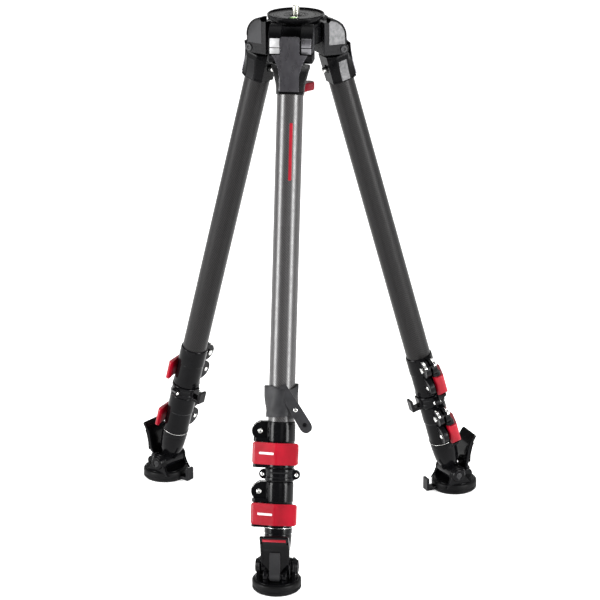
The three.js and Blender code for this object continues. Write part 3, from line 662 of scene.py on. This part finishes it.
def clamp_body(bm, spec, half, middle):
    """A collar with two clamp ears, a rear ear, and the lugs on either side of the lever's pivot."""
    outer, start, end = spec["outer"], spec["start"], spec["end"]
    ear_from, ear_to = spec["ears"]
    lever_from, lever_to = spec["lever"]
    lathe(bm, [(spec["seat"], start), (outer - 1.2, start), (outer - 0.4, start + 1),
               (outer - 0.4, start + 3.4), (outer, start + 4), (outer, ear_to), (outer - 0.7, ear_to + 0.8),
               (outer - 0.7, lever_to - 1), (outer, lever_to), (outer, end - 1), (outer - 1, end),
               (spec["bore"], end), (spec["bore"], spec["step"]), (spec["seat"], spec["step"])], sides=96)
    ear = [(-outer + 4, ear_from), (-outer + 4, ear_to)]
    ear += arc(-spec["reach"] + half, middle, half, 90, 270, 20)
    prism(bm, ear, 1.6, 9, front)
    prism(bm, ear, -9, -1.6, front)
    tall = (lever_to - lever_from - 1) / 2
    rear = [(-outer + 4, lever_from + 0.5), (-outer + 4, lever_to - 0.5)]
    rear += arc(-REAR_REACH + tall, (lever_from + lever_to) / 2, tall, 90, 270, 20)
    prism(bm, rear, REAR_BACK, REAR_FRONT, front)
    lug = [(-13, PIVOT_OUT - PIVOT_ROUND), (-13, PIVOT_OUT + PIVOT_ROUND)]
    lug += arc(PIVOT_X, PIVOT_OUT, PIVOT_ROUND, 90, 270, 16)
    prism(bm, lug, lever_from - 6, lever_from - 0.5, above)
    prism(bm, lug, lever_to + 0.5, end, above)


def clamp_bolt(kind, name, place, body, middle):
    """The bolt that draws a clamp's two ears together."""
    bm = bmesh.new()
    lathe(bm, [(0, -12.4), (4.2, -12.4), (4.2, -9.3), (2.5, -9.3), (2.5, 9.3), (3.9, 9.3), (3.9, 10.6),
               (3.2, 11.6), (1.9, 11.6), (1.7, 10.2), (0, 10.1)], "y", (-27, 0, middle), 36)
    node = f"{kind}_clamp_bolt_{name}"
    piece(node, bm, body, STEEL, place, 0.2, [node])


def clamp(kind, name, place):
    spec = CLAMPS[kind]
    body = f"{spec['body']}_{name}"
    ear_from, ear_to = spec["ears"]
    lever_from, lever_to = spec["lever"]
    half = (ear_to - ear_from) / 2
    middle = (ear_from + ear_to) / 2
    bm = bmesh.new()
    clamp_body(bm, spec, half, middle)
    node = f"{kind}_clamp_{name}"
    piece(node, bm, body, PLASTIC, place, 0.6, [node])
    clamp_bolt(kind, name, place, body, middle)
    # Painted highlights on the ears' rims.
    ear_edge_highlights(kind, name, place, body, (-spec["reach"] + half, middle), half)
    pin = (-28, REAR_BACK, (lever_from + lever_to) / 2)
    pan_screw(f"{kind}_ear_pin_{name}", body, place, "y", pin, 3.4, 1.8, -1)
    lever(kind, name, place, lever_from, lever_to)


def ear_edge_highlights(kind, name, place, body, centre, half):
    """Painted highlights: bright steel bands along the rims of a clamp's two ears, where their edges catch
    the light.
    """
    band = arc(*centre, half + 0.3, 200, 262, 12) + arc(*centre, half - 1.3, 262, 200, 12)
    bm = bmesh.new()
    prism(bm, band, 5.6, 9.2, front)
    prism(bm, band, -9.2, -5.6, front)
    piece(f"{kind}_ear_edge_highlight_{name}", bm, body, STEEL, place, 0.2)


def lever_outline():
    """The lever seen along the leg: a barrel round its pivot and a wedge-shaped arm round the collar."""
    x, out, radius = PIVOT_X, PIVOT_OUT, PIVOT_ROUND
    arm = [(x - radius - 0.4, out + 4), (x - radius - 0.2, out + 6.6), (x - radius + 1.4, out + 8.4),
           (x - 2.4, out + 9.3), (-5, 25.2), (-3, 25.6), (-1, 25.5), (22, 22), (25.6, 21.2), (27.2, 19.4),
           (27, 16.8), (20, 17.2), (8, 20.7), (-4, 21.2), (-16, 17), (x + radius + 0.2, out + 3.4)]
    return arm + arc(x, out, radius, 0, -180, 16)


def lever(kind, name, place, start, end):
    body = f"{kind}_lever_{name}"
    bm = bmesh.new()
    loops = []
    low, high = PIVOT_X - PIVOT_ROUND - 0.4, 27.2
    corner = ((0, 3.2), (0.7, 1.7), (1.6, 0.7), (3.2, 0))
    for z, inset in [(start + d, i) for d, i in corner] + [(end - d, i) for d, i in reversed(corner)]:
        loops.append([above(min(max(x, low + inset), high - inset), y, z) for x, y in lever_outline()])
    loft(bm, loops)
    disc(bm, 2.4, start - 2.8, start + 1, centre=(PIVOT_X, PIVOT_OUT, 0))
    disc(bm, 2.4, end - 1, end + 2.8, centre=(PIVOT_X, PIVOT_OUT, 0))
    piece(body, bm, body, RED, place, 0.9, [body], 3)
    bm = bmesh.new()
    label = rounded_box(-27, -6, start + 13, start + 16.2, 1.2, 4)
    loft(bm, [[Vector((u, 17.3 + 0.288 * (u + 32.4) + lift, v)) for u, v in label] for lift in (-0.4, 0.3)])
    piece(f"{kind}_lever_mark_{name}", bm, body, PALE, place, 0.1)


def spreader_bracket(name, place, body):
    """A ring with two bolted flanges, and a hook on the inner side for the mid-level spreader."""
    low, high, outer = RING_FROM, RING_TO, RING_OUTER
    middle = (low + high) / 2
    bm = bmesh.new()
    lathe(bm, [(16.5, low), (outer - 1, low), (outer, low + 1), (outer, low + 5), (outer - 0.8, low + 6),
               (outer - 0.8, high - 6), (outer, high - 5), (outer, high - 1), (outer - 1, high),
               (16.5, high)], sides=96)
    flange = arc(21.5, middle, 6.8, -90, 90, 14) + [(14, high - 1.5), (14, low + 1.5)]
    for sign in (-1, 1):
        prism(bm, [(sign * x, z) for x, z in flange], -4, 4, front)
    back = -outer - 0.8
    hook = [(-17.5, low), (back, low), (back, high - 5), (back - 9.5, high - 5), (back - 9.5, low - 0.4),
            (back - 13.5, low - 0.4), (back - 13.5, high), (-17.5, high)]
    prism(bm, hook, -7, 7, side)
    node = f"spreader_bracket_{name}"
    piece(node, bm, body, PLASTIC, place, 0.9, [node], 3)
    for sign, word in ((-1, "left"), (1, "right")):
        at, behind = (sign * 23, 4, middle), (sign * 23, -4, middle)
        pan_screw(f"bracket_screw_{name}_{word}", body, place, "y", at, 3.2, 1.8)
        pan_screw(f"bracket_nut_{name}_{word}", body, place, "y", behind, 3.2, 1.6, -1)


# ------------------------------------------------------------------ ankle and foot
def ankle(name, place):
    body = f"lower_{name}"
    top = CLAMPS["lower"]["end"] + 1
    bm = bmesh.new()
    lathe(bm, [(14.7, 724.3), (14.7, top), (18.4, top), (19.2, top + 0.8), (19.2, top + 7),
               (18.6, top + 7.6), (18.6, top + 9), (19, top + 9.6), (18.4, 716), (17.4, 726), (15, 732),
               (11, ANKLE_DOWN - 4), (4, ANKLE_DOWN - 3), (4, 724.3)], sides=80)
    disc(bm, 12.5, -21.4, 21.4, "x", (0, 0, ANKLE_DOWN), 1.2, 64)
    disc(bm, 4, -28.5, 28.5, "x", (0, 0, ANKLE_DOWN), 0.5, 32)
    piece(f"ankle_{name}", bm, body, PLASTIC, place, 0.4, [f"ankle_{name}"])
    bm = bmesh.new()
    ring(bm, 14.9, 19.3, top - 0.7, top - 0.15, edge=0.1)
    piece(f"ankle_trim_{name}", bm, body, STEEL, place, 0)


def cheek_outline():
    """A boss about the ankle's pin on a foot that spreads to the pad."""
    boss = arc(ANKLE_RADIUS, ANKLE_HEIGHT, 11, -10, 190, 24)
    return [(ANKLE_RADIUS - 20, 10), (ANKLE_RADIUS + 24, 10), (ANKLE_RADIUS + 19, 17)] + boss + [
        (ANKLE_RADIUS - 15, 17)]


def ankle_boss(bm, sign):
    """A stepped cone round the end of the ankle's pin."""
    steps = [(0, 22), (13.4, 22), (13.4, 23.6), (12.0, 24.4), (11.6, 26.2), (10.0, 27), (9.4, 29.0),
             (8.6, 29.6), (5.8, 29.6), (5.2, 28.8), (0, 28.8)]
    lathe(bm, [(radius, sign * x) for radius, x in steps], "x", (0, ANKLE_RADIUS, ANKLE_HEIGHT), 48)


def foot_pad(name, place, body, at):
    """The rubber pad, grooved underneath."""
    edge = PAD_RADIUS - 0.2
    grooves = []
    for k in range(6):
        radius = 6 + 4.5 * k
        grooves += [(radius, 0), (radius + 0.8, 1.2), (radius + 1.6, 1.2), (radius + 2.4, 0)]
    rim = [(edge - 2, 0), (edge, 2), (edge, 5), (edge - 0.8, 5.6), (edge - 0.8, 7), (edge, 7.6),
           (edge, 12.4), (edge - 1.4, 14.4), (edge - 3.4, PAD_HEIGHT), (0, PAD_HEIGHT)]
    bm = bmesh.new()
    lathe(bm, [(0, 0)] + grooves + rim, "z", at, 96)
    node = f"foot_base_{name}"
    piece(node, bm, body, RUBBER, place, 0.3, [node])


def foot_frame(name, place, body):
    """The cheeks that hold the ankle's pin, the lugs that hold the latch, and a hook on the inner side."""
    lug = [(LATCH_RADIUS - 6, 12), (LATCH_RADIUS + 6, 12), (LATCH_RADIUS + 6, 24), (LATCH_RADIUS - 6, 24)]
    bm = bmesh.new()
    for sign in (-1, 1):
        prism(bm, cheek_outline(), *sorted((sign * 22, sign * 27)), side)
        ankle_boss(bm, sign)
        ends = sorted((sign * 9.8, sign * 16))
        disc(bm, 8, *ends, "x", (0, LATCH_RADIUS, LATCH_HEIGHT), 0.8, 40)
        prism(bm, lug, *ends, side)
    inner = FOOT_RADIUS - PAD_RADIUS
    hook = [(inner + 6, 8), (inner - 10.5, 8), (inner - 10.5, 22), (inner - 14.5, 22), (inner - 14.5, 3),
            (inner + 6, 3)]
    prism(bm, hook, -7, 7, side)
    piece(f"foot_frame_{name}", bm, body, PLASTIC, place, 1.0, segments=3)


def foot_pins(name, place, body):
    at = (0, ANKLE_RADIUS, ANKLE_HEIGHT)
    for sign, word in ((-1, "right"), (1, "left")):
        bm = bmesh.new()
        disc(bm, 4.6, *sorted((sign * 28.6, sign * 29.6)), "x", at, 0.5, 40)
        disc(bm, 2.2, *sorted((sign * 29.4, sign * 30.2)), "x", at, 0.2, 6)
        piece(f"foot_pin_{name}_{word}", bm, body, CLIP, place, 0)


def foot_spring(name, place, body):
    reach = ANKLE_RADIUS + 16
    route = [(-19, reach - 1, 17), (-19, reach, 30), (-18.6, reach - 1, 35), (-16.5, reach - 3, 38.4),
             (-13, reach - 4, 39), (-10, reach - 4, 38)]
    bm = bmesh.new()
    wire(bm, route, 0.8)
    piece(f"foot_spring_{name}", bm, body, CLIP, place, 0)


def foot(name, turn):
    place = azimuth_frame(turn)
    body = f"foot_{name}"
    at = (0, FOOT_RADIUS, 0)
    foot_pad(name, place, body, at)
    foot_frame(name, place, body)
    bm = bmesh.new()
    ring(bm, 24, 30.2, PAD_HEIGHT - 0.5, PAD_HEIGHT + 1.2, centre=at, edge=0.6)
    piece(f"foot_ring_{name}", bm, body, PLASTIC, place, 0.2)
    foot_pins(name, place, body)
    foot_spring(name, place, body)
    latch(name, place)


def latch(name, place):
    """A waisted plate on a knuckle, with a wide top that flares outward."""
    body = f"latch_{name}"
    here = place @ Matrix.Translation((0, LATCH_RADIUS * MM, LATCH_HEIGHT * MM))
    stations = [(0, 9.5, -2.5, 1.5), (9, 9.7, -3.0, 1.2), (13, 13, -3.4, 0.8), (18, 17.6, -3.8, 0.4),
                (24, 19.6, -3.8, 0.4), (32, 20, -3.0, 1.2), (38, 20, -2.0, 2.2), (44, 20, -0.8, 3.6),
                (50, 20, 1.2, 5.8), (56, 20, 4.6, 9.0), (60, 20, 7.2, 11.2), (62, 19, 8.8, 10.6)]
    bm = bmesh.new()
    loft(bm, [[Vector((x, y, z)) for x, y in ((-half, back), (half, back), (half, face), (-half, face))]
              for z, half, back, face in stations])
    for sign in (-1, 1):
        rib = [(0.2, 20), (2.4, 20), (3.0, 32), (5.6, 44), (8.0, 50), (6.0, 50), (3.6, 44), (1.2, 32)]
        prism(bm, rib, *sorted((sign * 16.5, sign * 19.5)), side)
    disc(bm, 7.5, -9.5, 9.5, "x", edge=0.8)
    disc(bm, 2.2, -15.5, 15.5, "x", edge=0.3, sides=24)
    piece(f"foot_latch_{name}", bm, body, PLASTIC, here, 0.7, [f"foot_latch_{name}"], 3)
    clip = ((-6.5, 6.5, 5.0), (-3, 7, 7.6), (6, 7.2, 8.2), (12, 7.4, 4.4), (30, 7.4, 3.4), (35, 6.6, 3.0))
    bm = bmesh.new()
    loft(bm, [[Vector((x, y, z)) for x, y in ((-half, 0), (half, 0), (half, face), (-half, face))]
              for z, half, face in clip])
    piece(f"latch_clip_{name}", bm, body, CLIP, here, 0.5)
    bm = bmesh.new()
    loft(bm, [[Vector((x, y + face, z)) for x, y in ((-16, -0.5), (16, -0.5), (16, 0.35), (-16, 0.35))]
              for z, face in ((53.0, 7.4), (56, 9.0), (57.5, 9.9))])
    mark = RED if name == "front" else CLIP
    piece(f"latch_mark_{name}", bm, body, mark, here, 0.1)


# ------------------------------------------------------------------ strap on the front leg
def strap_wrap(place, body):
    """Webbing wound one and a quarter times round the tube."""
    bm = bmesh.new()
    steps, rows, thickness = 110, 10, 1.3
    inner, outer = [], []
    for i in range(steps + 1):
        t = i / steps
        angle = math.radians(40 + 460 * t)
        radius = 18.6 + 2.6 * t
        start = 500 + 3.0 * math.sin(2.1 * angle) + 6 * (1 - t)
        end = 543 + 2.0 * math.sin(1.3 * angle + 1) - 7 * t * (1 - t)
        for layer in (inner, outer):
            column = []
            for j in range(rows + 1):
                v = j / rows
                swell = 0.5 * math.sin(math.pi * v) + 0.5 * math.sin(5 * angle + 7 * v)
                swell += 4.5 * max(0, -math.sin(angle + 0.2)) ** 5 * max(0, 1 - 1.3 * v)
                reach = radius + thickness + swell if layer is outer else radius
                column.append(bm.verts.new((reach * math.sin(angle), reach * math.cos(angle),
                                            start + (end - start) * v)))
            layer.append(column)
    for i in range(steps):
        for j in range(rows):
            bm.faces.new((inner[i][j], inner[i + 1][j], inner[i + 1][j + 1], inner[i][j + 1]))
            bm.faces.new((outer[i][j], outer[i + 1][j], outer[i + 1][j + 1], outer[i][j + 1]))
        for j in (0, rows):
            bm.faces.new((inner[i][j], inner[i + 1][j], outer[i + 1][j], outer[i][j]))
    for i in (0, steps):
        for j in range(rows):
            bm.faces.new((inner[i][j], inner[i][j + 1], outer[i][j + 1], outer[i][j]))
    piece("leg_strap", bm, body, WEBBING, place, 0, ["leg_strap"], local=True)


def strap_tail(place, body):
    """The strap's loose end, with a snap and a button."""
    tail = place @ Matrix.Translation((10 * MM, 0, 513 * MM)) @ Matrix.Rotation(math.radians(-57), 4, "Y")
    bm = bmesh.new()
    stations = [(-16, 6.5, 19.3, 20.4), (-10, 6.5, 19.3, 20.9), (-4, 6.8, 19.2, 21.5), (4, 7.2, 19.2, 21.8),
                (20, 7.8, 19.4, 22.0), (42, 8.4, 19.8, 22.4), (49, 8.4, 20.0, 22.5), (53, 7.5, 20.0, 22.5),
                (56, 5.2, 20.1, 22.5), (57.4, 2.4, 20.1, 22.5)]
    loft(bm, [[Vector((u, y, v)) for y, v in ((low, -half), (low, half), (high, half), (high, -half))]
              for u, half, low, high in stations])
    piece("strap_tail", bm, body, WEBBING, tail, 0.5, local=True)
    for k, (u, material) in enumerate(((22, STEEL), (46, PLASTIC))):
        out = 21.75 + 0.015 * u
        bm = bmesh.new()
        lathe(bm, [(0, out - 0.4), (3, out - 0.4), (3, out + 0.5), (2.2, out + 1.0), (1, out + 0.8),
                   (0, out + 0.7)], "y", (u, 0, 0), 32)
        piece(f"strap_snap_{k}", bm, body, material, tail, 0)


def front_stripe(place, body):
    """A plain red stripe down the front tube."""
    bm = bmesh.new()
    radius = TUBES["upper"][0]
    loops = []
    for z, narrow in ((142, 0.6), (143, 0), (219, 0), (220, 0.6)):
        low, high = 8 + narrow * 4, 22 - narrow * 4
        turns = [math.radians(low + (high - low) * k / 8) for k in range(9)]
        rim = [(radius + 0.12, turn) for turn in turns] + [(radius - 0.2, turn) for turn in reversed(turns)]
        loops.append([Vector((r * math.sin(turn), r * math.cos(turn), z)) for r, turn in rim])
    loft(bm, loops)
    piece("tube_stripe", bm, body, RED, place, 0)


# ------------------------------------------------------------------ assembly
def leg(name, turn):
    place = leg_frame(turn)
    body = f"leg_{name}"
    spider_arm(name, turn)
    hinge_bolt(name, turn)
    leg_yoke(name, place, body)
    shoulder_cover(name, place, body)
    angle_lock(name, place)
    tube("upper", name, place, body)
    tube("middle", name, place, f"middle_{name}")
    tube("lower", name, place, f"lower_{name}")
    clamp("upper", name, place)
    clamp("lower", name, place)
    spreader_bracket(name, place, body)
    ankle(name, place)
    foot(name, turn)
    if name == "front":
        strap_wrap(place, body)
        strap_tail(place, body)
        front_stripe(place, body)


def tripod():
    spider_hub()
    platform()
    stud()
    level()
    tie_down()
    for name, turn in SIDES.items():
        leg(name, turn)


# ------------------------------------------------------------------ studio
def studio_floor():
    """White, with a glow that grows with distance so that the horizon stays white too."""
    material, nodes, links, shader = new_material("studio floor")
    where = nodes.new("ShaderNodeTexCoord")
    distance = nodes.new("ShaderNodeVectorMath")
    distance.operation = "LENGTH"
    links.new(where.outputs["Object"], distance.inputs[0])
    glow = ramp(nodes, links, distance.outputs["Value"], 0.60, 0.95, 0.8, 4)
    links.new(glow, shader.inputs["Emission Strength"])
    links.new(two_tone(nodes, links, noise(nodes, links, 3), (0.89, 0.89, 0.89), (0.92, 0.92, 0.92)),
              shader.inputs["Base Color"])
    shader.inputs["Emission Color"].default_value = (1, 1, 1, 1)
    shader.inputs["Roughness"].default_value = 0.8
    shader.inputs["Specular IOR Level"].default_value = 0.1
    return material


def studio():
    bm = bmesh.new()
    bmesh.ops.create_grid(bm, x_segments=2, y_segments=2, size=25)
    mesh = bpy.data.meshes.new("floor")
    bm.to_mesh(mesh)
    bm.free()
    floor = bpy.data.objects.new("floor", mesh)
    floor.location.z = -0.0005
    bpy.context.scene.collection.objects.link(floor)
    mesh.materials.append(studio_floor())
    world = bpy.data.worlds.new("studio")
    bpy.context.scene.world = world
    world.use_nodes = True
    back = world.node_tree.nodes["Background"]
    back.inputs["Color"].default_value = (1, 1, 1, 1)
    back.inputs["Strength"].default_value = 0.22
    for name, spot, size, power in (
        ("left strip", (-2.7, -1.4, 1.0), (1.1, 1.8), 160),
        ("right strip", (2.7, -1.5, 1.0), (1.1, 1.8), 160),
        ("front card", (0.9, -3.2, 1.25), (1.2, 1.0), 6),
        ("top", (0.2, 0.2, 2.8), (2.0, 2.0), 28),
        ("back", (0.4, 2.6, 1.8), (2.4, 1.2), 12),
    ):
        data = bpy.data.lights.new(name, "AREA")
        data.shape = "RECTANGLE"
        data.size, data.size_y = size
        data.energy = power
        light = bpy.data.objects.new(name, data)
        bpy.context.scene.collection.objects.link(light)
        light.location = spot
        aim = Vector((AXIS.x, AXIS.y, 0.4)) - Vector(spot)
        light.rotation_euler = aim.to_track_quat("-Z", "Y").to_euler()


def camera():
    """The photograph's camera: its distance and height, then its turn, pitch and roll."""
    distance, height, azimuth = 3.3763, 1.4652, 0.123
    yaw, pitch, roll = 0.001, 0.324, -0.006
    spot = Vector((AXIS.x + distance * math.sin(azimuth), AXIS.y - distance * math.cos(azimuth), height))
    forward = Vector((math.sin(yaw) * math.cos(pitch), math.cos(yaw) * math.cos(pitch), -math.sin(pitch)))
    forward.rotate(Matrix.Rotation(azimuth, 3, "Z"))
    right = forward.cross(Vector((0, 0, 1))).normalized()
    up = right.cross(forward)
    right, up = (math.cos(roll) * right + math.sin(roll) * up, math.cos(roll) * up - math.sin(roll) * right)
    turn = Matrix((right, up, -forward)).transposed().to_4x4()
    data = bpy.data.cameras.new("camera")
    data.sensor_width = 36
    data.lens = 149.58
    data.clip_end = 30
    obj = bpy.data.objects.new("camera", data)
    bpy.context.scene.collection.objects.link(obj)
    obj.matrix_world = Matrix.Translation(spot) @ turn
    bpy.context.scene.camera = obj


tripod()
studio()
camera()
bpy.context.scene.view_settings.view_transform = "Standard"
